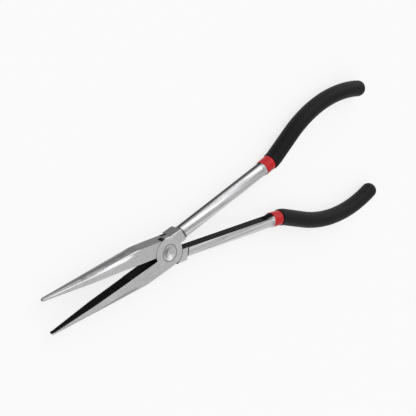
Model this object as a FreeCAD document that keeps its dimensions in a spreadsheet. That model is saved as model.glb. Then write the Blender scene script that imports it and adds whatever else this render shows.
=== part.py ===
"""Long-reach needle-nose pliers: two forged levers that cross in a lap joint on one rivet, with sleeved handles.

Each lever is drawn in its own frame with the jaws shut: the rivet's axis is Z through the origin, the jaw runs along
-X and the handle along +X, and Z is measured from the plane where the two levers meet. The bottom lever is the same
forging turned over. Both are then placed with the jaws partly open, standing on the joint's lower face.
"""

import math
import os

import FreeCAD
import Part
import Sketcher

doc = FreeCAD.newDocument("LongReachPliers")

# Driving dimensions, in millimetres and degrees.
DIMENSIONS = {
    "open_half": 6.74,         # each lever's turn away from shut, in the stored pose
    "boss_radius": 9.7,        # round boss of the lap joint
    "boss_half": 4.7,          # half the joint's thickness at the boss
    "plate_half": 4.5,         # half the thickness of jaw root and handle block
    "lap_gap": 0.05,           # from the meeting plane to each lever's lap face
    "rim_gap": 0.3,            # from one lever's boss to the other's shoulder
    "jaw_reach": 84.6,         # rivet axis to the nose
    "jaw_depth": 8.8,          # jaw root, across
    "jaw_face_gap": 0.04,      # from the shut line to the gripping face
    "taper_start": 12.0,       # rivet axis to where the jaw starts to thin
    "taper_knee": 55.0,        # rivet axis to where it thins faster
    "knee_half": 3.65,         # half thickness there
    "tip_half": 1.45,          # half thickness at the nose
    "cone_start": 16.0,        # rivet axis to the big end of the turned nose
    "cone_big": 10.55,         # nose radius there
    "cone_tip_back": 1.15,     # length of the rounded nose end
    "cone_tip": 1.7,           # nose radius where the rounding starts
    "tooth_pitch": 1.1,
    "tooth_depth": 0.32,
    "tooth_half": 0.45,        # half the width of a groove's mouth
    "tooth_first": 82.2,       # rivet axis to the groove nearest the nose
    "tooth_count": 48,
    "block_inner": 1.0,        # shut line to the handle block's inner side
    "block_outer": 8.8,        # shut line to its outer side
    "block_end_outer": 12.7,   # rivet axis to the block's end, at the outer side
    "block_end_inner": 14.4,   # and at the inner side
    "boss_break": 0.25,        # chamfer round the boss
    "block_break": 0.25,       # chamfer round the handle block's faces
    "jaw_break": 0.3,          # chamfer where the jaw's flat sides meet its turned back
    "shank_start": 10.6,       # the handle's half-round bar, from inside the block
    "bar_end": 87.7,           # to where it runs out in the flare
    "shoulder": 88.2,          # rivet axis to the shoulder that the collar sits against
    "root_inner": 1.5,         # shut line to the bar's flat, at its start
    "root_flat": 3.25,         # straight part of the bar's section there
    "root_round": 3.7,         # radius of its round part
    "neck_inner": 5.2,         # the same three at its other end
    "neck_flat": 3.05,
    "neck_round": 3.95,
    "flare_length": 6.0,       # round flare in front of the shoulder
    "flare_small": 3.3,        # its radius where it leaves the bar
    "shoulder_radius": 4.8,
    "shoulder_side": 7.8,      # shut line to the handle's centreline, at the shoulder
    "handle_lean": 5.0,        # handle centreline's angle to the shut line there
    "tang_radius": 3.4,
    "tang_turn": 38.0,         # how far the tang curls back
    "tang_tail": 1.0,
    "sleeve_gap": 0.06,        # from the tang to the sleeves' bores
    "collar_length": 7.9,
    "collar_radius": 4.95,
    "collar_round": 0.45,
    "grip_radius": 5.5,
    "grip_lead": 0.8,          # straight start of the grip
    "grip_lip": 0.45,          # rounding of the grip's open end
    "bend_radius": 14.1,       # first bend, outwards
    "bend_turn": 16.9,
    "bend_to_bow": 19.9,       # straight part between the bends
    "bow_radius": 93.2,        # long bow, back inwards
    "bow_turn": 44.1,
    "grip_tail": 6.0,
    "grip_end_round": 4.9,
    "rivet_radius": 3.6,
    "rivet_gap": 0.05,
    "head_radius": 5.35,
    "head_height": 1.3,
    "head_flush": 4.7,         # meeting plane to the rivet's end
    "head_ring": 5.0,          # radius of the dish in the rivet's end
    "head_step": 0.45,         # depth of the dish at its rim
    "head_dimple": 0.9,        # radius of the mark at the dish's centre
    "dimple_depth": 0.7,
}

sheet = doc.addObject("Spreadsheet::Sheet", "Dims")
for row, (alias, number) in enumerate(DIMENSIONS.items(), start=1):
    sheet.set(f"A{row}", alias)
    sheet.set(f"B{row}", str(number))
    sheet.setAlias(f"B{row}", alias)
doc.recompute()


ZERO = (0.0, "0")


def size(*names):
    """A sum of named dimensions, as (value, expression). A name may start with a minus sign."""
    value = 0.0
    terms = []
    for name in names:
        sign = -1.0 if name.startswith("-") else 1.0
        alias = name.lstrip("-")
        value += sign * float(sheet.get(alias))
        terms.append(("-" if sign < 0 else "+") + " Dims." + alias)
    return value, " ".join(terms).lstrip("+ ") if terms else "0"


def new_body(label):
    body = doc.addObject("PartDesign::Body", label)
    body.Label = label
    return body


def new_sketch(body, name, plane, offset=None):
    """A sketch on one of the body's origin planes, moved along that plane's normal by offset."""
    sketch = body.newObject("Sketcher::SketchObject", name)
    face = next(feature for feature in body.Origin.OriginFeatures if feature.Role == plane)
    sketch.AttachmentSupport = (face, [""])
    sketch.MapMode = "FlatFace"
    if offset:
        sketch.AttachmentOffset = FreeCAD.Placement(FreeCAD.Vector(0, 0, offset[0]), FreeCAD.Rotation())
        sketch.setExpression("AttachmentOffset.Base.z", offset[1])
    return sketch


def new_handle_sketch(body, name, plane):
    """A sketch at the shoulder whose frame follows the handle's centreline: lengthwise (XY) or across it (YZ)."""
    sketch = new_sketch(body, name, plane)
    along, side, lean = size("shoulder"), size("shoulder_side"), size("handle_lean")
    if plane == "XY_Plane":
        place, axis = {"x": along, "y": side}, FreeCAD.Vector(0, 0, 1)
    else:
        place, axis = {"z": along, "x": side}, FreeCAD.Vector(0, 1, 0)
    base = FreeCAD.Vector(*(place.get(letter, ZERO)[0] for letter in "xyz"))
    sketch.AttachmentOffset = FreeCAD.Placement(base, FreeCAD.Rotation(axis, lean[0]))
    for letter, where in place.items():
        sketch.setExpression(f"AttachmentOffset.Base.{letter}", where[1])
    sketch.setExpression("AttachmentOffset.Rotation.Angle", f"({lean[1]}) * 1 deg")
    return sketch


def bind(sketch, constraint, expression):
    """Adds a constraint and drives it from the sheet."""
    index = sketch.addConstraint(constraint)
    sketch.setExpression(f"Constraints[{index}]", expression)


def pin(sketch, geometry, point, across, up):
    """Holds a point at (across, up) from the sketch's origin. A None is left for other constraints to settle."""
    for kind, axis, where in (("DistanceX", -2, across), ("DistanceY", -1, up)):
        if where is None:
            continue
        value, expression = where
        if abs(value) < 1e-9:
            sketch.addConstraint(Sketcher.Constraint("PointOnObject", geometry, point, axis))
        elif value > 0:
            bind(sketch, Sketcher.Constraint(kind, -1, 1, geometry, point, value), expression)
        else:
            bind(sketch, Sketcher.Constraint(kind, geometry, point, -1, 1, -value), f"-({expression})")


def draw_polygon(sketch, corners):
    """A closed outline of straight lines through (across, up) corners."""
    points = [FreeCAD.Vector(across[0], up[0], 0) for across, up in corners]
    lines = []
    for here, there in zip(points, points[1:] + points[:1]):
        lines.append(sketch.addGeometry(Part.LineSegment(here, there), False))
    for line, following in zip(lines, lines[1:] + lines[:1]):
        sketch.addConstraint(Sketcher.Constraint("Coincident", line, 2, following, 1))
    for line, (across, up) in zip(lines, corners):
        pin(sketch, line, 1, across, up)
    return lines


def draw_circle(sketch, across, up, radius):
    centre = FreeCAD.Vector(across[0], up[0], 0)
    circle = sketch.addGeometry(Part.Circle(centre, FreeCAD.Vector(0, 0, 1), radius[0]), False)
    pin(sketch, circle, 3, across, up)
    bind(sketch, Sketcher.Constraint("Radius", circle, radius[0]), radius[1])
    return circle


def draw_two_halves(sketch, radius):
    """A circle about the sketch's origin, as an upper and a lower half."""
    circle = Part.Circle(FreeCAD.Vector(), FreeCAD.Vector(0, 0, 1), radius[0])
    upper = sketch.addGeometry(Part.ArcOfCircle(circle, 0, math.pi), False)
    lower = sketch.addGeometry(Part.ArcOfCircle(circle, math.pi, 2 * math.pi), False)
    pin(sketch, upper, 3, ZERO, ZERO)
    bind(sketch, Sketcher.Constraint("Radius", upper, radius[0]), radius[1])
    for end in (1, 2):
        sketch.addConstraint(Sketcher.Constraint("PointOnObject", upper, end, -1))
        sketch.addConstraint(Sketcher.Constraint("Coincident", upper, end, lower, 3 - end))
    sketch.addConstraint(Sketcher.Constraint("PointOnObject", lower, 3, -1))


def draw_half_round(sketch, inner, flat, radius):
    """The handle bar's section: a flat inner side, two straight sides and a round back, as (across, up)."""
    left = inner[0]
    middle = left + flat[0]
    half = radius[0]
    corners = [
        FreeCAD.Vector(middle, -half, 0),
        FreeCAD.Vector(left, -half, 0),
        FreeCAD.Vector(left, half, 0),
        FreeCAD.Vector(middle, half, 0),
    ]
    lines = [sketch.addGeometry(Part.LineSegment(a, b), False) for a, b in zip(corners, corners[1:])]
    circle = Part.Circle(FreeCAD.Vector(middle, 0, 0), FreeCAD.Vector(0, 0, 1), half)
    back = sketch.addGeometry(Part.ArcOfCircle(circle, -math.pi / 2, math.pi / 2), False)
    sketch.addConstraint(Sketcher.Constraint("Coincident", lines[0], 2, lines[1], 1))
    sketch.addConstraint(Sketcher.Constraint("Coincident", lines[1], 2, lines[2], 1))
    sketch.addConstraint(Sketcher.Constraint("Tangent", lines[2], 2, back, 2))
    sketch.addConstraint(Sketcher.Constraint("Tangent", back, 1, lines[0], 1))
    sketch.addConstraint(Sketcher.Constraint("Vertical", lines[1]))
    sketch.addConstraint(Sketcher.Constraint("Horizontal", lines[0]))
    sketch.addConstraint(Sketcher.Constraint("PointOnObject", back, 3, -1))
    bind(sketch, Sketcher.Constraint("Radius", back, half), radius[1])
    bind(sketch, Sketcher.Constraint("DistanceX", -1, 1, lines[1], 1, left), inner[1])
    bind(sketch, Sketcher.Constraint("DistanceX", lines[0], 2, lines[0], 1, flat[0]), flat[1])


def draw_handle_line(sketch, lead, turn, tail):
    """The handle's centreline from the sketch's origin: a straight lead, a bend outwards, a straight, a bow back."""
    bend = size("bend_turn")
    headings = [ZERO, bend, (bend[0] - turn[0], f"{bend[1]} - {turn[1]}")]
    lengths = [lead, size("bend_to_bow"), tail]
    bends = [(size("bend_radius"), 1), (size("bow_radius"), -1)]
    up = FreeCAD.Vector(0, 0, 1)
    point = FreeCAD.Vector()
    lines = []
    arcs = []
    for index, (heading, length) in enumerate(zip(headings, lengths)):
        ahead = FreeCAD.Rotation(up, heading[0]).multVec(FreeCAD.Vector(1, 0, 0))
        end = point + ahead * length[0]
        lines.append(sketch.addGeometry(Part.LineSegment(point, end), False))
        if index < len(bends):
            radius, side = bends[index]
            turned = headings[index + 1][0] - heading[0]
            spoke = FreeCAD.Vector(ahead.y, -ahead.x, 0) * (side * radius[0])
            centre = end - spoke
            middle, point = (centre + FreeCAD.Rotation(up, turned * share).multVec(spoke) for share in (0.5, 1))
            arcs.append(sketch.addGeometry(Part.Arc(end, middle, point), False))
    pin(sketch, lines[0], 1, ZERO, ZERO)
    for index, (arc, (radius, side)) in enumerate(zip(arcs, bends)):
        first, last = (1, 2) if side > 0 else (2, 1)
        sketch.addConstraint(Sketcher.Constraint("Tangent", lines[index], 2, arc, first))
        sketch.addConstraint(Sketcher.Constraint("Tangent", arc, last, lines[index + 1], 1))
        bind(sketch, Sketcher.Constraint("Radius", arc, radius[0]), radius[1])
    sketch.addConstraint(Sketcher.Constraint("Horizontal", lines[0]))
    for line, heading in zip(lines[1:], headings[1:]):
        angle = Sketcher.Constraint("Angle", -1, 1, line, 1, math.radians(heading[0]))
        bind(sketch, angle, f"({heading[1]}) * 1 deg")
    for line, length in zip(lines, lengths):
        bind(sketch, Sketcher.Constraint("Distance", line, length[0]), length[1])


def extrude(body, kind, name, sketch, length, reverse=False, both=False):
    """A Pad or Pocket of a stated length, one way or both ways."""
    feature = body.newObject(f"PartDesign::{kind}", name)
    feature.Profile = sketch
    feature.Type = "Length"
    feature.Reversed = reverse
    feature.Midplane = both
    feature.Length = length[0]
    feature.setExpression("Length", length[1])
    doc.recompute()
    return feature


def chamfer(body, name, size_name, chosen):
    """Breaks the edges of the body's last feature that chosen(edge) accepts."""
    base = body.Tip
    edges = [f"Edge{n}" for n, edge in enumerate(base.Shape.Edges, start=1) if chosen(edge)]
    feature = body.newObject("PartDesign::Chamfer", name)
    feature.Base = (base, edges)
    feature.Size = size(size_name)[0]
    feature.setExpression("Size", size(size_name)[1])
    doc.recompute()
    return feature


def fillet(body, name, size_name, chosen):
    """Rounds the edges of the body's last feature that chosen(edge) accepts."""
    base = body.Tip
    edges = [f"Edge{n}" for n, edge in enumerate(base.Shape.Edges, start=1) if chosen(edge)]
    feature = body.newObject("PartDesign::Fillet", name)
    feature.Base = (base, edges)
    feature.Radius = size(size_name)[0]
    feature.setExpression("Radius", size(size_name)[1])
    doc.recompute()
    return feature


def times(pair, factor):
    """A named size times a plain factor."""
    return pair[0] * factor, f"({pair[1]}) * {factor}"


def add_joint(body):
    """The half-thickness boss, cut level with the jaw's back, the jaw and handle blanks, and the other boss's room."""
    boss = new_sketch(body, "boss_outline", "XY_Plane", size("lap_gap"))
    draw_circle(boss, ZERO, ZERO, size("boss_radius"))
    extrude(body, "Pad", "boss", boss, size("boss_half", "-lap_gap"))
    flat = new_sketch(body, "boss_flat_outline", "XY_Plane")
    left, right = (times(size("boss_radius"), share) for share in (-2, 2))
    side = size("-jaw_depth")
    draw_polygon(flat, [(left, left), (right, left), (right, side), (left, side)])
    extrude(body, "Pocket", "boss_flat", flat, times(size("boss_half"), 4), both=True)
    top = size("boss_half")[0] - 1e-3
    chamfer(body, "boss_rim", "boss_break", lambda edge: edge.BoundBox.ZMin > top)

    jaw = new_sketch(body, "jaw_outline", "XY_Plane")
    face = size("-jaw_face_gap")
    back = size("-jaw_depth")
    nose = size("-jaw_reach")
    draw_polygon(jaw, [(nose, face), (nose, back), (ZERO, back), (ZERO, face)])
    extrude(body, "Pad", "jaw_blank", jaw, times(size("plate_half"), 2), both=True)

    block = new_sketch(body, "block_outline", "XY_Plane")
    inner = size("block_inner")
    outer = size("block_outer")
    far_outer = size("block_end_outer")
    far_inner = size("block_end_inner")
    draw_polygon(block, [(ZERO, inner), (far_inner, inner), (far_outer, outer), (ZERO, outer)])
    extrude(body, "Pad", "handle_block", block, times(size("plate_half"), 2), both=True)
    half = size("plate_half")[0]
    chamfer(body, "block_rim", "block_break", lambda edge: is_block_edge(edge, half))

    room = new_sketch(body, "lap_outline", "XY_Plane", size("lap_gap"))
    draw_circle(room, ZERO, ZERO, size("boss_radius", "rim_gap"))
    extrude(body, "Pocket", "lap_recess", room, size("boss_half", "plate_half"))

    bore = new_sketch(body, "bore_outline", "XY_Plane")
    draw_circle(bore, ZERO, ZERO, size("rivet_radius", "rivet_gap"))
    extrude(body, "Pocket", "rivet_bore", bore, times(size("boss_half"), 4), both=True)

    seat = new_sketch(body, "seat_outline", "XY_Plane", size("boss_half"))
    draw_circle(seat, ZERO, ZERO, size("head_radius", "rivet_gap"))
    extrude(body, "Pocket", "head_seat", seat, size("head_height", "rivet_gap"))


def shape_jaw(body):
    """Thins the jaw towards the nose, then turns its back to a cone with a rounded end."""
    side = new_sketch(body, "jaw_side", "XZ_Plane")
    beyond = size("-jaw_reach", "-cone_tip_back")
    start = size("-taper_start")
    knee = size("-taper_knee")
    top = times(size("plate_half"), 2)
    for sign in (1, -1):
        draw_polygon(side, [
            (start, times(size("plate_half"), sign)),
            (start, times(top, sign)),
            (beyond, times(top, sign)),
            (beyond, times(size("tip_half"), sign)),
            (size("-jaw_reach"), times(size("tip_half"), sign)),
            (knee, times(size("knee_half"), sign)),
        ])
    extrude(body, "Pocket", "jaw_taper", side, times(size("boss_radius"), 4), both=True)

    turned = new_sketch(body, "nose_profile", "XY_Plane")
    end = size("-jaw_reach")
    shoulder = size("-jaw_reach", "cone_tip_back")
    big = size("-cone_start")
    clear = times(size("boss_radius"), -2)
    points = [
        (end, ZERO),
        (shoulder, size("-cone_tip")),
        (big, size("-cone_big")),
        (big, clear),
        (beyond, clear),
        (beyond, ZERO),
    ]
    corners = [FreeCAD.Vector(across[0], up[0], 0) for across, up in points]
    # The rounded end bulges towards the nose's corner.
    bulge = FreeCAD.Vector(end[0] * 0.7 + shoulder[0] * 0.3, -0.72 * size("cone_tip")[0], 0)
    rounding = turned.addGeometry(Part.Arc(corners[0], bulge, corners[1]), False)
    lines = [turned.addGeometry(Part.LineSegment(a, b), False) for a, b in zip(corners[1:], corners[2:])]
    lines.append(turned.addGeometry(Part.LineSegment(corners[-1], corners[0]), False))
    for line, following in zip(lines, lines[1:]):
        turned.addConstraint(Sketcher.Constraint("Coincident", line, 2, following, 1))
    begins, ends = (1, 2) if turned.getPoint(rounding, 1).distanceToPoint(corners[0]) < 1e-6 else (2, 1)
    turned.addConstraint(Sketcher.Constraint("Coincident", rounding, ends, lines[0], 1))
    turned.addConstraint(Sketcher.Constraint("Coincident", lines[-1], 2, rounding, begins))
    for line, (across, up) in zip(lines, points[1:]):
        pin(turned, line, 1, across, up)
    pin(turned, rounding, begins, *points[0])
    bind(turned, Sketcher.Constraint("Radius", rounding, size("cone_tip")[0]), size("cone_tip")[1] + " * 1.02")
    nose = body.newObject("PartDesign::Groove", "turned_nose")
    nose.Profile = turned
    nose.ReferenceAxis = (turned, ["H_Axis"])
    nose.Angle = 360
    doc.recompute()
    chamfer(body, "jaw_back_edges", "jaw_break", is_jaw_back_edge)


def cut_teeth(body):
    """Cross grooves along the gripping face."""
    tooth = new_sketch(body, "tooth_outline", "XY_Plane")
    middle = size("-tooth_first")
    draw_polygon(tooth, [
        (size("-tooth_first", "-tooth_half"), size("-jaw_face_gap")),
        (middle, size("-jaw_face_gap", "-tooth_depth")),
        (size("-tooth_first", "tooth_half"), size("-jaw_face_gap")),
        (middle, size("tooth_depth")),
    ])
    groove = extrude(body, "Pocket", "tooth", tooth, times(size("plate_half"), 2), both=True)
    teeth = body.newObject("PartDesign::LinearPattern", "teeth")
    teeth.Originals = [groove]
    teeth.Direction = (tooth, ["H_Axis"])
    teeth.Length = times(size("tooth_pitch"), size("tooth_count")[0] - 1)[0]
    teeth.setExpression("Length", "Dims.tooth_pitch * (Dims.tooth_count - 1)")
    teeth.Occurrences = int(size("tooth_count")[0])
    teeth.setExpression("Occurrences", "Dims.tooth_count")
    body.Tip = teeth
    doc.recompute()


def add_shank(body):
    """The half-round bar from the block, its flare and shoulder, and the round tang for collar and grip."""
    sections = []
    for place, prefix in (("shank_start", "root"), ("bar_end", "neck")):
        section = new_sketch(body, f"bar_at_{prefix}", "YZ_Plane", size(place))
        draw_half_round(section, size(f"{prefix}_inner"), size(f"{prefix}_flat"), size(f"{prefix}_round"))
        sections.append(section)
    bar = body.newObject("PartDesign::AdditiveLoft", "shank")
    bar.Profile = sections[0]
    bar.Sections = sections[1:]
    bar.Ruled = True
    doc.recompute()

    profile = new_handle_sketch(body, "flare_profile", "XY_Plane")
    back = size("-flare_length")
    draw_polygon(profile, [(back, ZERO), (ZERO, ZERO), (ZERO, size("shoulder_radius")), (back, size("flare_small"))])
    flare = body.newObject("PartDesign::Revolution", "flare")
    flare.Profile = profile
    flare.ReferenceAxis = (profile, ["H_Axis"])
    flare.Angle = 360
    doc.recompute()

    line = new_handle_sketch(body, "tang_line", "XY_Plane")
    lead = size("collar_length", "grip_lead")
    draw_handle_line(line, lead, size("tang_turn"), size("tang_tail"))
    section = new_handle_sketch(body, "tang_section", "YZ_Plane")
    draw_two_halves(section, size("tang_radius"))
    tang = body.newObject("PartDesign::AdditivePipe", "tang")
    tang.Profile = section
    tang.Spine = (line, [])
    doc.recompute()


def make_lever(label):
    body = new_body(label)
    add_joint(body)
    shape_jaw(body)
    add_shank(body)
    cut_teeth(body)
    return body


def make_collar(label):
    """The coloured ring that butts against the shoulder. Drawn along the handle's own centreline."""
    body = new_body(label)
    ring = new_sketch(body, "ring_section", "YZ_Plane")
    draw_circle(ring, ZERO, ZERO, size("collar_radius"))
    draw_circle(ring, ZERO, ZERO, size("tang_radius", "sleeve_gap"))
    extrude(body, "Pad", "ring", ring, size("collar_length"))
    rim = size("collar_radius")[0]
    fillet(body, "soft_rims", "collar_round", lambda edge: is_circle(edge, rim))
    return body


def is_block_edge(edge, half):
    """Whether an edge is one of the handle block's long or end edges, on its upper or lower face."""
    box = edge.BoundBox
    flat = box.ZLength < 1e-3 and abs(abs(box.ZMin) - half) < 1e-3
    return flat and box.YMin > 0.5 and box.XMax > 12


def is_jaw_back_edge(edge):
    """Whether an edge runs along the jaw, where a flat side meets the back."""
    box = edge.BoundBox
    return box.XLength > 5 and box.XMax < -14.9 and box.YMax < -0.8 and (box.ZMin > 1.2 or box.ZMax < -1.2)


def is_circle(edge, radius):
    curve = edge.Curve
    return isinstance(curve, Part.Circle) and abs(curve.Radius - radius) < 1e-3


def make_grip(label):
    """The closed-ended sleeve on the tang. Drawn along the handle's own centreline, from the collar's end."""
    body = new_body(label)
    line = new_sketch(body, "grip_line", "XY_Plane")
    draw_handle_line(line, size("grip_lead"), size("bow_turn"), size("grip_tail"))
    section = new_sketch(body, "grip_section", "YZ_Plane")
    draw_circle(section, ZERO, ZERO, size("grip_radius"))
    sleeve = body.newObject("PartDesign::AdditivePipe", "sleeve")
    sleeve.Profile = section
    sleeve.Spine = (line, [])
    doc.recompute()

    rims = sorted((edge.BoundBox.Center.x for edge in sleeve.Shape.Edges if edge.isClosed()))
    fillet(body, "round_end", "grip_end_round", lambda edge: edge.isClosed() and edge.BoundBox.Center.x == rims[-1])
    fillet(body, "soft_lip", "grip_lip", lambda edge: edge.isClosed() and edge.BoundBox.XMax < 1e-3)

    bore_line = new_sketch(body, "bore_line", "XY_Plane")
    draw_handle_line(bore_line, size("grip_lead"), size("tang_turn"), size("tang_tail", "sleeve_gap"))
    bore_section = new_sketch(body, "bore_section", "YZ_Plane")
    draw_circle(bore_section, ZERO, ZERO, size("tang_radius", "sleeve_gap"))
    bore = body.newObject("PartDesign::SubtractivePipe", "tang_bore")
    bore.Profile = bore_section
    bore.Spine = (bore_line, [])
    doc.recompute()
    return body


def make_rivet(label):
    """A pin with a flush head at each end: the upper one turned to a dish, the lower one ground flat."""
    body = new_body(label)
    profile = new_sketch(body, "rivet_profile", "XZ_Plane")
    pin_radius = size("rivet_radius")
    head = size("head_radius")
    top = size("head_flush")
    under = size("head_flush", "-head_height")
    ring = size("head_ring")
    dish = size("head_flush", "-head_step")
    dimple = size("head_dimple")
    hollow = size("head_flush", "-dimple_depth")
    upper = [(pin_radius, under), (head, under), (head, top), (ring, top), (dimple, dish), (ZERO, hollow)]
    lower = [(ZERO, top), (head, top), (head, under), (pin_radius, under)]
    draw_polygon(profile, upper + [(across, times(up, -1)) for across, up in lower])
    turned = body.newObject("PartDesign::Revolution", "turned_pin")
    turned.Profile = profile
    turned.ReferenceAxis = (profile, ["V_Axis"])
    turned.Angle = 360
    doc.recompute()
    return body


def lever_placement(side):
    """Where a lever's own frame stands: side is 1 for the top lever and -1 for the bottom one, turned over."""
    up = FreeCAD.Vector(0, 0, 1)
    lift = FreeCAD.Placement(up * size("boss_half")[0], FreeCAD.Rotation(up, side * size("open_half")[0]))
    turn_over = FreeCAD.Rotation(FreeCAD.Vector(1, 0, 0), 0 if side > 0 else 180)
    return lift.multiply(FreeCAD.Placement(FreeCAD.Vector(), turn_over))


def handle_placement(side, along):
    """A frame on the handle's centreline, along it by a distance from the shoulder, facing the handle's end."""
    lean = FreeCAD.Rotation(FreeCAD.Vector(0, 0, 1), size("handle_lean")[0])
    foot = FreeCAD.Vector(size("shoulder")[0], size("shoulder_side")[0], 0)
    place = FreeCAD.Placement(foot + lean.multVec(FreeCAD.Vector(along, 0, 0)), lean)
    return lever_placement(side).multiply(place)


parts = []
for name, side in (("top", 1), ("bottom", -1)):
    lever = make_lever(f"{name}_lever")
    lever.Placement = lever_placement(side)
    collar = make_collar(f"{name}_lever_collar")
    collar.Placement = handle_placement(side, 0)
    grip = make_grip(f"{name}_lever_grip")
    grip.Placement = handle_placement(side, size("collar_length")[0])
    parts += [lever, collar, grip]
rivet = make_rivet("pivot_rivet")
rivet.Placement = lever_placement(1)
parts.append(rivet)

doc.recompute()
for item in doc.Objects:
    if "Invalid" in item.State or "Error" in item.State:
        raise RuntimeError(f"{item.Label} failed: {item.State}")
for item in parts:
    shape = item.Shape
    if shape.isNull() or not shape.isValid() or len(shape.Solids) != 1:
        raise RuntimeError(f"{item.Label} is not one valid solid")
    print(item.Label, "volume", round(shape.Volume, 1), "mm3")

os.makedirs("parts", exist_ok=True)
for item in parts:
    item.Shape.exportStep(f"parts/{item.Label}.step")
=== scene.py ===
import math

import bpy
from mathutils import Matrix, Vector


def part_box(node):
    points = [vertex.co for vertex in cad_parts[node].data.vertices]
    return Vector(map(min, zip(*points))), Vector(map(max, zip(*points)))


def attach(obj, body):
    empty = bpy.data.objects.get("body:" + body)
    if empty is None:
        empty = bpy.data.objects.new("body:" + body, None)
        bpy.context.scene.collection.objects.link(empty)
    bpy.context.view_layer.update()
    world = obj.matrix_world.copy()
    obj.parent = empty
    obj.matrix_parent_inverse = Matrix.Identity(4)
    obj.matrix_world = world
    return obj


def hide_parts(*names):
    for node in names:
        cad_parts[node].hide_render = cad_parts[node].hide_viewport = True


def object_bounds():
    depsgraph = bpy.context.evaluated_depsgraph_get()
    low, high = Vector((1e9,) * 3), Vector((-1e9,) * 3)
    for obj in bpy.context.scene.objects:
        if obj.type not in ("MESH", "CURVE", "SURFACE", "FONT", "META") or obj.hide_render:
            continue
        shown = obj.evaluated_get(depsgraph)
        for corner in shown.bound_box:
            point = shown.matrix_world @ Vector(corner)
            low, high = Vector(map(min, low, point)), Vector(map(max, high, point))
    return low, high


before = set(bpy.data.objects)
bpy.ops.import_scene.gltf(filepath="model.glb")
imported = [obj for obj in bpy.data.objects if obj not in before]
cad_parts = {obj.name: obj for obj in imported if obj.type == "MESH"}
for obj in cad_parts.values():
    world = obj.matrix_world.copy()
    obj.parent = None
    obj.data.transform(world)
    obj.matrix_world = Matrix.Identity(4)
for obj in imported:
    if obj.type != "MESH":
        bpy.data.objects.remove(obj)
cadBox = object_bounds()
rivetLow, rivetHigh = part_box("pivot_rivet")
meetingPlane = (rivetLow.z + rivetHigh.z) / 2    # height at which the two levers slide on each other
openHalf = math.radians(6.74)                    # each lever's turn away from shut
noiseSpan = (0.3, 0.7)                           # a noise texture's usual range
print("frame loaded", [round(1000 * (high - low), 1) for low, high in zip(*cadBox)], "mm")


# A node in a shader or geometry tree. Inputs hold plain values, or the output that feeds them.
def put(tree, kind, inputs=None, **settings):
    node = tree.nodes.new(kind)
    for name, value in settings.items():
        setattr(node, name, value)
    for key, value in (inputs or {}).items():
        socket = node.inputs[key]
        if isinstance(value, bpy.types.NodeSocket):
            tree.links.new(value, socket)
        else:
            socket.default_value = value
    return node


def calc(tree, operation, *values):
    inputs = dict(enumerate(values))
    return put(tree, "ShaderNodeMath", inputs, operation=operation).outputs[0]


# A smooth step between the two ends of to, as value goes from low to high.
def ease(tree, value, low, high, to=(0, 1)):
    inputs = {"Value": value, "From Min": low, "From Max": high, "To Min": to[0], "To Max": to[1]}
    return put(tree, "ShaderNodeMapRange", inputs, interpolation_type="SMOOTHSTEP").outputs["Result"]


def blendColour(tree, amount, first, second):
    node = put(tree, "ShaderNodeMix", {0: amount}, data_type="RGBA")
    for socket, value in ((node.inputs[6], first), (node.inputs[7], second)):
        if isinstance(value, bpy.types.NodeSocket):
            tree.links.new(value, socket)
        else:
            socket.default_value = (*value, 1)
    return node.outputs[2]


def fleck(tree, place, scale, detail=3, stretch=(1, 1, 1)):
    spread = put(tree, "ShaderNodeMapping", {"Vector": place, "Scale": stretch}).outputs[0]
    return put(tree, "ShaderNodeTexNoise", {"Vector": spread, "Scale": scale, "Detail": detail}).outputs[0]


def newMaterial(name):
    material = bpy.data.materials.new(name)
    material.use_nodes = True
    tree = material.node_tree
    return material, tree, tree.nodes["Principled BSDF"]


def join(tree, output, shader, name):
    tree.links.new(output, shader.inputs[name])


def dent(tree, height, distance):
    return put(tree, "ShaderNodeBump", {"Height": height, "Strength": 1, "Distance": distance}).outputs[0]


def roughen(tree, shader, pattern, look):
    span = (look["roughness"], look["roughest"])
    join(tree, ease(tree, pattern, *noiseSpan, span), shader, "Roughness")


leverSteel = {
    "face": (0.60, 0.60, 0.61),       # ground flats
    "side": (0.15, 0.15, 0.155),      # jaw backs and block sides, darker: painted shade standing for a dark reflection
    "bar": (0.035, 0.035, 0.037),     # rounded backs of the handle bars, darker still: painted shade standing for a dark reflection
    "stepShadow": (0.11, 0.11, 0.112),      # painted shadow in the step where a bar leaves its block
    "scale": (0.006, 0.006, 0.007),   # black oxide left on the inner sides
    "faceRoughness": 0.30,
    "sideRoughness": 0.24,
    "scaleRoughness": 0.55,
    "grain": 1500,                    # per metre
    "markDepth": 0.00002,
    "brush": 2600,
    "brushStretch": (0.03, 1, 1),     # marks run along the lever
    "streak": 420,
    "streakStretch": (0.015, 1, 1),   # broad soft streaks along the bars
    "streakFrom": (0.35, 0.65),
    "cloud": 60,
    "markTone": (0.80, 1.15),
    "cloudTone": (-0.05, 0.05),
    "streakTone": (-0.25, 0.30),
    "markRoughness": (-0.05, 0.07),
    "blackFrom": (0.60, 0.78),        # how squarely a side faces its partner before it counts as black
    "flatFrom": (0.15, 0.65),         # how squarely it faces up or down before it counts as ground and takes the face colour instead of the painted shade
    "scaleGloss": 0.03,
}
leverJaw = {
    "start": 0.018, "end": 0.0835,                # from the rivet's axis
    "startRadius": 0.0103, "endRadius": 0.0017,   # of the turned back
    "rollFrom": 0.50, "rollTo": 0.80,             # where across it the flats start and end rolling over
    "full": 0.034,                                # how far along before they roll over fully
}
leverBlock = {
    "outerEnd": Vector((0.0127, 0.0088)),         # from the rivet's axis, with the jaws shut
    "innerEnd": Vector((0.0144, 0.001)),
    "barFade": 0.001,                             # from the block's end to the bar's full painted shade
    "stepShadowFrom": 0.00005,
    "stepShadowTo": (0.0018, 0.0011),
    "stepShadowUnder": (0.0044, 0.0041),                # below the block's faces, from the meeting plane
}


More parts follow.
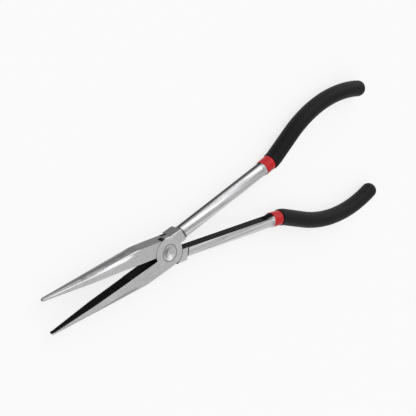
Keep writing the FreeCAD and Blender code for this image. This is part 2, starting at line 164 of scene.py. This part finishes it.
# side is 1 for the lever whose handle lies towards +Y, and -1 for the other.
def makeLeverSteel(name, side):
    look = leverSteel
    material, tree, shader = newMaterial(name)
    coords = put(tree, "ShaderNodeTexCoord")
    turn = (0, 0, -side * openHalf)
    place = put(tree, "ShaderNodeMapping", {"Vector": coords.outputs["Object"], "Rotation": turn}).outputs[0]
    facing = put(tree, "ShaderNodeMapping", {"Vector": coords.outputs["Normal"], "Rotation": turn}).outputs[0]
    placeParts = put(tree, "ShaderNodeSeparateXYZ", {0: place}).outputs
    facingParts = put(tree, "ShaderNodeSeparateXYZ", {0: facing}).outputs

    # jaws face their partner one way, handle bars the other
    behind = calc(tree, "GREATER_THAN", placeParts[0], 0)
    towards = calc(tree, "MULTIPLY_ADD", behind, -2 * side, side)
    inward = calc(tree, "MULTIPLY", facingParts[1], towards)
    blackened = ease(tree, inward, *look["blackFrom"])
    flat = ease(tree, calc(tree, "ABSOLUTE", facingParts[2]), *look["flatFrom"])

    grain = fleck(tree, place, look["grain"])
    brush = fleck(tree, place, look["brush"], detail=2, stretch=look["brushStretch"])
    cloud = fleck(tree, place, look["cloud"])
    streak = fleck(tree, place, look["streak"], detail=1, stretch=look["streakStretch"])
    marks = calc(tree, "ADD", calc(tree, "MULTIPLY", grain, 0.5), calc(tree, "MULTIPLY", brush, 0.5))

    # the block's slanting end, from its outer corner to its inner one
    block = leverBlock
    outerEnd = block["outerEnd"]
    run = (block["innerEnd"] - outerEnd).normalized()
    lengthways = calc(tree, "MULTIPLY_ADD", placeParts[0], -run.y, outerEnd.x * run.y - outerEnd.y * run.x)
    beyond = calc(tree, "MULTIPLY_ADD", placeParts[1], side * run.x, lengthways)
    # past the block's end the bar takes its darker painted shade and its streaks
    bar = ease(tree, beyond, 0, block["barFade"])
    # painted shadow in the step just past the block's end, below the block's faces
    edges = [calc(tree, "GREATER_THAN", beyond, block["stepShadowFrom"]), ease(tree, beyond, *block["stepShadowTo"])]
    level = calc(tree, "SUBTRACT", placeParts[2], meetingPlane)
    low = ease(tree, calc(tree, "ABSOLUTE", level), *block["stepShadowUnder"])
    stepShadow = calc(tree, "MULTIPLY", calc(tree, "MULTIPLY", *edges), low)

    # painted shade: sides and bar backs darker, standing for a dark reflection, then the painted shadow in
    # the step
    steel = blendColour(tree, flat, blendColour(tree, bar, look["side"], look["bar"]), look["face"])
    steel = blendColour(tree, stepShadow, steel, look["stepShadow"])
    tone = ease(tree, marks, *noiseSpan, look["markTone"])
    tone = calc(tree, "ADD", tone, ease(tree, cloud, *noiseSpan, look["cloudTone"]))
    tone = calc(tree, "MULTIPLY_ADD", ease(tree, streak, *look["streakFrom"], look["streakTone"]), bar, tone)
    steel = put(tree, "ShaderNodeVectorMath", {0: steel, "Scale": tone}, operation="SCALE").outputs[0]
    join(tree, blendColour(tree, blackened, steel, look["scale"]), shader, "Base Color")

    rough = ease(tree, flat, 0, 1, (look["sideRoughness"], look["faceRoughness"]))
    rough = calc(tree, "ADD", rough, ease(tree, marks, *noiseSpan, look["markRoughness"]))
    scaleRough = calc(tree, "MULTIPLY", blackened, look["scaleRoughness"] - look["faceRoughness"])
    join(tree, calc(tree, "ADD", rough, scaleRough), shader, "Roughness")
    join(tree, calc(tree, "SUBTRACT", 1, blackened), shader, "Metallic")
    shader.inputs["Specular IOR Level"].default_value = look["scaleGloss"]

    # the jaw's flats roll over softly into its turned back
    jaw = leverJaw
    along = calc(tree, "MULTIPLY", placeParts[0], -1)
    outward = calc(tree, "MULTIPLY", placeParts[1], -side)
    reach = {"Value": along, "From Min": jaw["start"], "From Max": jaw["end"]}
    reach.update({"To Min": jaw["startRadius"], "To Max": jaw["endRadius"]})
    back = put(tree, "ShaderNodeMapRange", reach).outputs[0]
    width = calc(tree, "MULTIPLY", back, jaw["rollTo"] - jaw["rollFrom"])
    rolled = calc(tree, "SUBTRACT", outward, calc(tree, "MULTIPLY", back, jaw["rollFrom"]))
    rolled = put(tree, "ShaderNodeClamp", {0: calc(tree, "DIVIDE", rolled, width)}).outputs[0]
    drop = calc(tree, "MULTIPLY", calc(tree, "MULTIPLY", rolled, rolled), calc(tree, "MULTIPLY", width, -0.5))
    drop = calc(tree, "MULTIPLY", drop, ease(tree, along, jaw["start"], jaw["full"]))
    height = calc(tree, "MULTIPLY_ADD", marks, look["markDepth"], drop)
    join(tree, dent(tree, height, 1), shader, "Normal")
    return material


rivetSteel = {
    "colour": (0.62, 0.62, 0.63),
    "roughness": 0.26,
    "roughest": 0.36,
    "tone": (0.86, 1.08),
    "wander": 900,                    # per metre
    "ringPitch": 0.00032,
    "ringDepth": 0.000016,
    "anisotropy": 0.85,
    "seat": (0.24, 0.24, 0.24),       # dark rings round the head and at the dish's rim
    "seatRadius": 0.00535,
    "seatWidth": 0.00025,
    "dishRadius": 0.0050,
    "dishWidth": 0.0003,
    "darkCore": 0.3,                  # share of such a width that is fully dark
    "bowlStart": 0.0006,
    "bowlDepth": 0.0017,
}


def makeRivetSteel():
    look = rivetSteel
    material, tree, shader = newMaterial("turnedSteel")
    place = put(tree, "ShaderNodeTexCoord").outputs["Object"]
    flat = put(tree, "ShaderNodeVectorMath", {0: place, 1: (1, 1, 0)}, operation="MULTIPLY").outputs[0]
    radius = put(tree, "ShaderNodeVectorMath", {0: flat}, operation="LENGTH").outputs["Value"]
    rings = calc(tree, "SINE", calc(tree, "MULTIPLY", radius, 2 * math.pi / look["ringPitch"]))
    wander = fleck(tree, place, look["wander"])
    height = calc(tree, "ADD", calc(tree, "MULTIPLY", rings, 0.5), wander)
    rise = look["bowlDepth"] / look["ringDepth"]
    height = calc(tree, "ADD", height, ease(tree, radius, look["bowlStart"], look["dishRadius"], (0, rise)))
    shade = ease(tree, wander, *noiseSpan, look["tone"])
    shaded = {0: look["colour"], "Scale": shade}
    colour = put(tree, "ShaderNodeVectorMath", shaded, operation="SCALE").outputs[0]
    for circle in ("seat", "dish"):
        width = look[circle + "Width"]
        apart = calc(tree, "ABSOLUTE", calc(tree, "SUBTRACT", radius, look[circle + "Radius"]))
        colour = blendColour(tree, ease(tree, apart, width, width * look["darkCore"]), colour, look["seat"])
    join(tree, colour, shader, "Base Color")
    shader.inputs["Metallic"].default_value = 1
    roughen(tree, shader, wander, look)
    shader.inputs["Anisotropic"].default_value = look["anisotropy"]
    tangent = put(tree, "ShaderNodeTangent", direction_type="RADIAL", axis="Z").outputs[0]
    join(tree, tangent, shader, "Tangent")
    join(tree, dent(tree, height, look["ringDepth"]), shader, "Normal")
    return material


ringVinyl = {
    "colour": (0.56, 0.002, 0.006),
    "worn": (0.46, 0.002, 0.006),
    "wornFrom": (0.35, 0.7),
    "roughness": 0.28,
    "roughest": 0.38,
    "ior": 1.36,
    "patch": 260,
    "peel": 1400,
    "peelDepth": 0.00001,
}


def makeRingVinyl():
    look = ringVinyl
    material, tree, shader = newMaterial("ringVinyl")
    place = put(tree, "ShaderNodeTexCoord").outputs["Object"]
    patch = fleck(tree, place, look["patch"])
    colour = blendColour(tree, ease(tree, patch, *look["wornFrom"]), look["colour"], look["worn"])
    join(tree, colour, shader, "Base Color")
    roughen(tree, shader, patch, look)
    shader.inputs["IOR"].default_value = look["ior"]
    join(tree, dent(tree, fleck(tree, place, look["peel"]), look["peelDepth"]), shader, "Normal")
    return material


gripVinyl = {
    "colour": (0.003, 0.003, 0.0034),
    "rubbed": (0.007, 0.007, 0.0075),
    "rubbedFrom": (0.4, 0.75),
    "roughness": 0.46,
    "roughest": 0.58,
    "ior": 1.26,
    "patch": 45,
    "peel": 700,
    "peelDepth": 0.00003,
}


def makeGripVinyl():
    look = gripVinyl
    material, tree, shader = newMaterial("gripVinyl")
    place = put(tree, "ShaderNodeTexCoord").outputs["Object"]
    patch = fleck(tree, place, look["patch"])
    peel = fleck(tree, place, look["peel"])
    colour = blendColour(tree, ease(tree, patch, *look["rubbedFrom"]), look["colour"], look["rubbed"])
    join(tree, colour, shader, "Base Color")
    roughen(tree, shader, peel, look)
    shader.inputs["IOR"].default_value = look["ior"]
    join(tree, dent(tree, peel, look["peelDepth"]), shader, "Normal")
    return material


def dress(node, material):
    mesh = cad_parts[node].data
    mesh.materials.clear()
    mesh.materials.append(material)


def newTree(name, sizes):
    tree = bpy.data.node_groups.new(name, "GeometryNodeTree")
    kinds = {float: "NodeSocketFloat", int: "NodeSocketInt", tuple: "NodeSocketVector"}
    for label, value in sizes.items():
        tree.interface.new_socket(label, in_out="INPUT", socket_type=kinds[type(value)])
    tree.interface.new_socket("Material", in_out="INPUT", socket_type="NodeSocketMaterial")
    tree.interface.new_socket("Geometry", in_out="OUTPUT", socket_type="NodeSocketGeometry")
    return tree, put(tree, "NodeGroupInput").outputs


def endTree(tree, geometry, material):
    whole = put(tree, "GeometryNodeRealizeInstances", {0: geometry}).outputs[0]
    painted = put(tree, "GeometryNodeSetMaterial", {"Geometry": whole, "Material": material}).outputs[0]
    put(tree, "NodeGroupOutput", {"Geometry": painted})


# Runs a tree with these sizes and leaves its result as a plain mesh object.
def grow(name, tree, sizes, material):
    carrier = bpy.data.objects.new(name + "Carrier", bpy.data.meshes.new(name))
    bpy.context.scene.collection.objects.link(carrier)
    modifier = carrier.modifiers.new(name, "NODES")
    modifier.node_group = tree
    sockets = {item.name: item.identifier for item in tree.interface.items_tree if item.in_out == "INPUT"}
    for label, value in {**sizes, "Material": material}.items():
        modifier[sockets[label]] = value
    bpy.context.view_layer.update()
    ready = carrier.evaluated_get(bpy.context.evaluated_depsgraph_get())
    piece = bpy.data.objects.new(name, bpy.data.meshes.new_from_object(ready))
    bpy.data.objects.remove(carrier)
    bpy.context.scene.collection.objects.link(piece)
    return piece


# The dipped sleeve: a line that bends outwards, runs straight and bows back, swept with a round
# that closes at its end.
gripShape = {
    "Steps": 320,
    "Sides": 48,
    "Radius": 0.00549,
    "Lip": 0.0008,
    "End round": 0.0049,
    "Lead": 0.0008,
    "Bend radius": 0.0141,
    "Bend turn": math.radians(16.9),
    "Straight": 0.0199,
    "Bow radius": 0.0932,
    "Bow turn": math.radians(44.1),
    "Tail": 0.006,
}
handle = {
    "shoulder": Vector((0.0882, 0.0078, 0)),   # with the jaws shut, from the rivet's axis
    "lean": math.radians(5),
    "ringLength": 0.0079,
}


def makeGripTree():
    named = {**gripShape, "Side": 1.0, "Heading": 0.0, "Start": (0.0, 0.0, 0.0)}
    tree, sizes = newTree("dippedGrip", named)
    bendLength = calc(tree, "MULTIPLY", sizes["Bend radius"], sizes["Bend turn"])
    bowLength = calc(tree, "MULTIPLY", sizes["Bow radius"], sizes["Bow turn"])
    bendEnd = calc(tree, "ADD", sizes["Lead"], bendLength)
    bowStart = calc(tree, "ADD", bendEnd, sizes["Straight"])
    bowEnd = calc(tree, "ADD", bowStart, bowLength)
    whole = calc(tree, "ADD", bowEnd, sizes["Tail"])
    step = calc(tree, "DIVIDE", whole, sizes["Steps"])
    along = calc(tree, "MULTIPLY", put(tree, "GeometryNodeInputIndex").outputs[0], step)

    # heading halfway to the next point, then the running sum of the steps
    halfway = calc(tree, "MULTIPLY_ADD", step, 0.5, along)
    turns = []
    for low, high, turn in ((sizes["Lead"], bendEnd, "Bend turn"), (bowStart, bowEnd, "Bow turn")):
        reach = {"Value": halfway, "From Min": low, "From Max": high}
        share = put(tree, "ShaderNodeMapRange", reach).outputs[0]
        turns.append(calc(tree, "MULTIPLY", share, sizes[turn]))
    turned = calc(tree, "ADD", calc(tree, "SUBTRACT", *turns), sizes["Heading"])
    turned = calc(tree, "MULTIPLY", turned, sizes["Side"])
    parts = {0: calc(tree, "COSINE", turned), 1: calc(tree, "SINE", turned)}
    ahead = put(tree, "ShaderNodeCombineXYZ", parts).outputs[0]
    stride = put(tree, "ShaderNodeVectorMath", {0: ahead, "Scale": step}, operation="SCALE").outputs[0]
    adding = put(tree, "GeometryNodeAccumulateField", {"Value": stride}, data_type="FLOAT_VECTOR")
    summed = adding.outputs["Trailing"]
    spot = put(tree, "ShaderNodeVectorMath", {0: summed, 1: sizes["Start"]}, operation="ADD").outputs[0]
    count = calc(tree, "ADD", sizes["Steps"], 1)
    points = put(tree, "GeometryNodeMeshLine", {"Count": count, "Offset": (0, 0, 0)}).outputs[0]
    line = put(tree, "GeometryNodeSetPosition", {"Geometry": points, "Position": spot}).outputs[0]
    line = put(tree, "GeometryNodeMeshToCurve", {0: line}).outputs[0]

    # quarter rounds at the closed end and at the lip
    radius = sizes["Radius"]
    left = calc(tree, "SUBTRACT", whole, along)
    for distance, rounding in ((left, sizes["End round"]), (along, sizes["Lip"])):
        into = calc(tree, "SUBTRACT", 1, calc(tree, "DIVIDE", distance, rounding))
        into = put(tree, "ShaderNodeClamp", {0: into}).outputs[0]
        height = calc(tree, "SQRT", calc(tree, "SUBTRACT", 1, calc(tree, "MULTIPLY", into, into)))
        lost = calc(tree, "MULTIPLY", calc(tree, "SUBTRACT", 1, height), rounding)
        radius = calc(tree, "SUBTRACT", radius, lost)
    outline = {"Resolution": sizes["Sides"], "Radius": 1}
    hoop = put(tree, "GeometryNodeCurvePrimitiveCircle", outline).outputs[0]
    sweep = {"Curve": line, "Profile Curve": hoop, "Scale": radius, "Fill Caps": True}
    sleeve = put(tree, "GeometryNodeCurveToMesh", sweep).outputs[0]
    smooth = put(tree, "GeometryNodeSetShadeSmooth", {0: sleeve}).outputs[0]
    endTree(tree, smooth, sizes["Material"])
    return tree


# Ridges left by the lathe on the rivet's dish, each a ring.
turnedRings = {
    "Count": 10,
    "First": 0.00125,
    "Pitch": 0.00038,
    "Thickness": 0.00006,
    "Rise": 0.1098,           # slope of the dish
    "Floor": 0.00896,         # height of the innermost ring's middle
    "Steps": 96,              # round each ring
    "Sides": 10,              # round its thickness
}


def makeRingTree():
    tree, sizes = newTree("turnedRings", turnedRings)
    points = put(tree, "GeometryNodeMeshLine", {"Count": sizes["Count"], "Offset": (0, 0, 0)}).outputs[0]
    index = put(tree, "GeometryNodeInputIndex").outputs[0]
    out = calc(tree, "MULTIPLY", index, sizes["Pitch"])
    radius = calc(tree, "ADD", out, sizes["First"])
    height = calc(tree, "MULTIPLY_ADD", out, sizes["Rise"], sizes["Floor"])
    spot = put(tree, "ShaderNodeCombineXYZ", {2: height}).outputs[0]
    points = put(tree, "GeometryNodeSetPosition", {"Geometry": points, "Position": spot}).outputs[0]
    outline = {"Resolution": sizes["Steps"], "Radius": 1}
    ring = put(tree, "GeometryNodeCurvePrimitiveCircle", outline).outputs[0]
    spread = put(tree, "ShaderNodeCombineXYZ", {0: radius, 1: radius, 2: 1}).outputs[0]
    spreading = {"Points": points, "Instance": ring, "Scale": spread}
    rings = put(tree, "GeometryNodeInstanceOnPoints", spreading).outputs[0]
    rings = put(tree, "GeometryNodeRealizeInstances", {0: rings}).outputs[0]
    section = {"Resolution": sizes["Sides"], "Radius": sizes["Thickness"]}
    wire = put(tree, "GeometryNodeCurvePrimitiveCircle", section).outputs[0]
    swept = put(tree, "GeometryNodeCurveToMesh", {"Curve": rings, "Profile Curve": wire}).outputs[0]
    smooth = put(tree, "GeometryNodeSetShadeSmooth", {0: swept}).outputs[0]
    endTree(tree, smooth, sizes["Material"])
    return tree


ringRed = makeRingVinyl()
gripBlack = makeGripVinyl()
turnedSteel = makeRivetSteel()
dress("top_lever", makeLeverSteel("topLeverSteel", 1))
dress("bottom_lever", makeLeverSteel("bottomLeverSteel", -1))
dress("pivot_rivet", turnedSteel)
for lever in ("top", "bottom"):
    dress(f"{lever}_lever_collar", ringRed)
print("materials done")

gripTree = makeGripTree()
for lever, side in (("top", 1.0), ("bottom", -1.0)):
    ahead = Vector((math.cos(handle["lean"]), math.sin(handle["lean"]), 0))
    start = handle["shoulder"] + ahead * handle["ringLength"]
    start.rotate(Matrix.Rotation(openHalf, 3, "Z"))
    place = (start.x, side * start.y, meetingPlane)
    sizes = {**gripShape, "Side": side, "Heading": handle["lean"] + openHalf, "Start": place}
    grip = grow(f"{lever}Grip", gripTree, sizes, gripBlack)
    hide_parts(f"{lever}_lever_grip")
    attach(grip, f"{lever}_half")
rings = grow("turnedRings", makeRingTree(), turnedRings, turnedSteel)
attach(rings, "top_half")
print("grown pieces done")


studio = {
    "worldStrength": 0.75,
    "keyFrom": (0.574, 0.600, 0.557),     # towards the soft key light
    "keySize": math.radians(60),
    "keyStrength": 0.85,
    "floorColour": (0.93, 0.93, 0.93),
    "floorWhite": 0.75,                   # share of plain white over the floor's own shade and shadow
    "floorSize": 40,
}
cameraSetup = {
    "place": (-0.26735, 0.22155, 0.38126),   # from the rivet's axis, above the meeting plane
    "right": (0.720229, -0.173006, 0.671814),
    "up": (0.389357, 0.902302, -0.185062),
    "lens": 76.22,
    "nearest": 0.01,
}


def makeCamera():
    data = bpy.data.cameras.new("camera")
    data.lens = cameraSetup["lens"]
    data.clip_start = cameraSetup["nearest"]
    camera = bpy.data.objects.new("camera", data)
    bpy.context.scene.collection.objects.link(camera)
    right = Vector(cameraSetup["right"]).normalized()
    back = right.cross(Vector(cameraSetup["up"])).normalized()
    up = back.cross(right)
    place = Vector(cameraSetup["place"]) + Vector((0, 0, meetingPlane))
    camera.matrix_world = Matrix.Translation(place) @ Matrix((right, up, back)).transposed().to_4x4()
    bpy.context.scene.camera = camera


def makeWorld():
    world = bpy.data.worlds.new("studio")
    world.use_nodes = True
    background = world.node_tree.nodes["Background"]
    background.inputs["Color"].default_value = (1, 1, 1, 1)
    background.inputs["Strength"].default_value = studio["worldStrength"]
    bpy.context.scene.world = world


def makeKeyLight():
    data = bpy.data.lights.new("key", "SUN")
    data.energy = studio["keyStrength"]
    data.angle = studio["keySize"]
    lamp = bpy.data.objects.new("key", data)
    lamp.rotation_euler = Vector(studio["keyFrom"]).to_track_quat("Z", "Y").to_euler()
    bpy.context.scene.collection.objects.link(lamp)


def makeFloor():
    material, tree, shader = newMaterial("floor")
    shader.inputs["Base Color"].default_value = (*studio["floorColour"], 1)
    shader.inputs["Roughness"].default_value = 1
    shader.inputs["Specular IOR Level"].default_value = 0
    rays = put(tree, "ShaderNodeLightPath").outputs
    seen = rays["Is Camera Ray"]
    for kind in ("Is Glossy Ray", "Is Transmission Ray"):
        seen = calc(tree, "MAXIMUM", seen, rays[kind])
    white = put(tree, "ShaderNodeEmission", {"Color": (1, 1, 1, 1), "Strength": 1}).outputs[0]
    share = calc(tree, "MULTIPLY", seen, studio["floorWhite"])
    mixed = put(tree, "ShaderNodeMixShader", {0: share, 1: shader.outputs[0], 2: white}).outputs[0]
    tree.links.new(mixed, tree.nodes["Material Output"].inputs["Surface"])
    bpy.ops.mesh.primitive_plane_add(size=studio["floorSize"], location=(0, 0, cadBox[0].z))
    floor = bpy.context.object
    floor.name = "floor"
    floor.data.materials.append(material)


makeCamera()
makeWorld()
makeKeyLight()
makeFloor()
bpy.context.scene.view_settings.view_transform = "Standard"
print("studio done")
